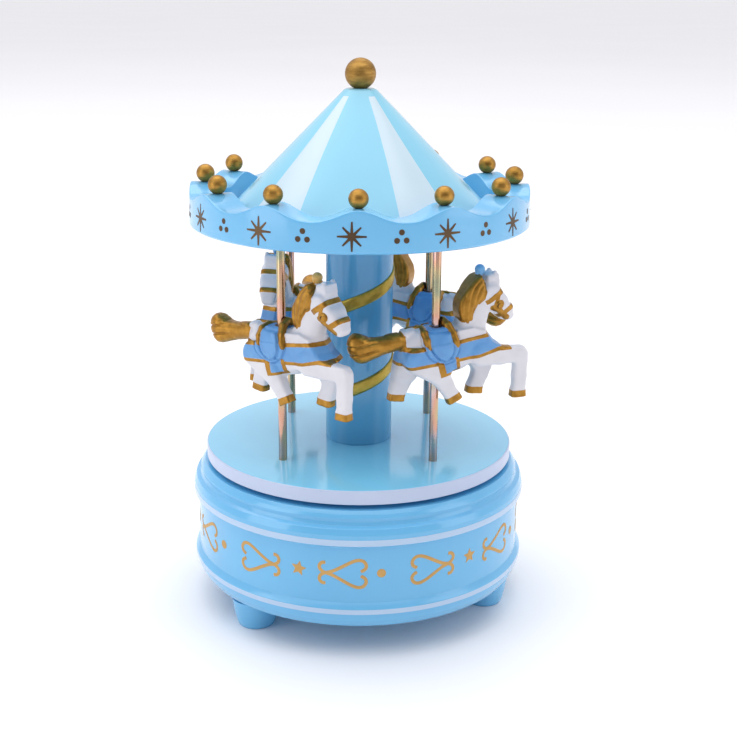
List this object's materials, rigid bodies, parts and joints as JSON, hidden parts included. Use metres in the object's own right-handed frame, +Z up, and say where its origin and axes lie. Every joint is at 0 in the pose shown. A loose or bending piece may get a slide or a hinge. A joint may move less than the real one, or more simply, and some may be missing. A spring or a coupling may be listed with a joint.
{
  "type": "wind up music box",
  "caption": "Carousel music box: a round footed base with a clockwork movement turns a deck with galloping horses on poles under a striped, ball-rimmed canopy.",
  "frame": {"origin": "on the ground, under the middle of the base", "axes": "+Z up along the carousel's axis, -Y is the front"},
  "size_m": [0.1116, 0.1116, 0.179],
  "materials": {
    "blue_plastic": "glossy moulded baby-blue plastic",
    "pale_plastic": "glossy pale plastic with blue stripes",
    "horse_white": "painted white plastic with gold and blue details",
    "gold_plated": "gold plated plastic",
    "zinc_plated": "yellow passivated zinc plating, faintly iridescent",
    "steel": "plain steel",
    "zinc_casting": "die cast, satin",
    "brass": "turned brass",
    "nylon": "natural nylon",
    "gold_foil": "hot stamped gold foil",
    "white_trim": "white pinstripe",
    "gold_paint": "gold paint",
    "blue_paint": "blue paint"
  },
  "bodies": {
    "base": {"base_housing": "blue_plastic", "bottom_cover": "blue_plastic", "foot_left": "blue_plastic", "foot_right": "blue_plastic", "foot_rear": "blue_plastic", "cover_screws": "steel", "bedplate": "zinc_casting", "movement_screws": "steel", "bracket_screws": "steel", "inner_bearing": "brass", "outer_bearing": "brass", "governor_bracket": "zinc_casting", "comb": "steel", "comb_screws": "steel", "click_spring": "steel", "top_bush": "brass", "arbor_bush": "brass"},
    "winder": {"winding_key": "steel", "winding_arbor": "steel", "ratchet_wheel": "steel"},
    "carousel": {"spring_barrel": "zinc_casting", "barrel_cover": "zinc_casting", "mainspring": "steel", "drive_spindle": "steel", "deck_hub": "zinc_casting", "deck": "blue_plastic", "column": "blue_plastic", "column_screws": "steel", "pole_1": "zinc_plated", "pole_2": "zinc_plated", "pole_3": "zinc_plated", "pole_4": "zinc_plated", "horse_1": "horse_white", "horse_2": "horse_white", "horse_3": "horse_white", "horse_4": "horse_white", "canopy_plate": "pale_plastic", "canopy_ring": "blue_plastic", "canopy_roof": "pale_plastic", "finial_ball": "gold_plated", "rim_ball_01": "gold_plated", "rim_ball_02": "gold_plated", "rim_ball_03": "gold_plated", "rim_ball_04": "gold_plated", "rim_ball_05": "gold_plated", "rim_ball_06": "gold_plated", "rim_ball_07": "gold_plated", "rim_ball_08": "gold_plated", "rim_ball_09": "gold_plated", "rim_ball_10": "gold_plated", "rim_ball_11": "gold_plated", "rim_ball_12": "gold_plated"},
    "cylinder": {"music_cylinder": "brass", "cylinder_shaft": "steel", "cylinder_pinion": "nylon", "cylinder_gear": "nylon"},
    "governor_gear": {"governor_wheel": "nylon"},
    "governor_spinner": {"governor_worm": "nylon", "governor_fan": "nylon"}
  },
  "joints": [
    {"name": "carousel_spin", "type": "hinge", "parent": "base", "child": "carousel", "pos_m": [0, 0, 0], "axis": [0, 0, 1], "continuous": true},
    {"name": "key_turn", "type": "hinge", "parent": "base", "child": "winder", "pos_m": [0, 0, 0], "axis": [0, 0, -1], "range_deg": [0, 1350]},
    {"name": "cylinder_spin", "type": "hinge", "parent": "base", "child": "cylinder", "pos_m": [0.0136, 0, 0.0358], "axis": [1, 0, 0], "continuous": true},
    {"name": "governor_gear_spin", "type": "hinge", "parent": "base", "child": "governor_gear", "pos_m": [0.037, 0.01, 0.0358], "axis": [1, 0, 0], "continuous": true},
    {"name": "governor_worm_spin", "type": "hinge", "parent": "base", "child": "governor_spinner", "pos_m": [0.0402, 0.01765, 0.0358], "axis": [0, 0, 1], "continuous": true}
  ],
  "couplings": [
    {"joint": "cylinder_spin", "follows": "carousel_spin", "ratio": 3},
    {"joint": "governor_gear_spin", "follows": "carousel_spin", "ratio": -9},
    {"joint": "governor_worm_spin", "follows": "carousel_spin", "ratio": 180}
  ]
}
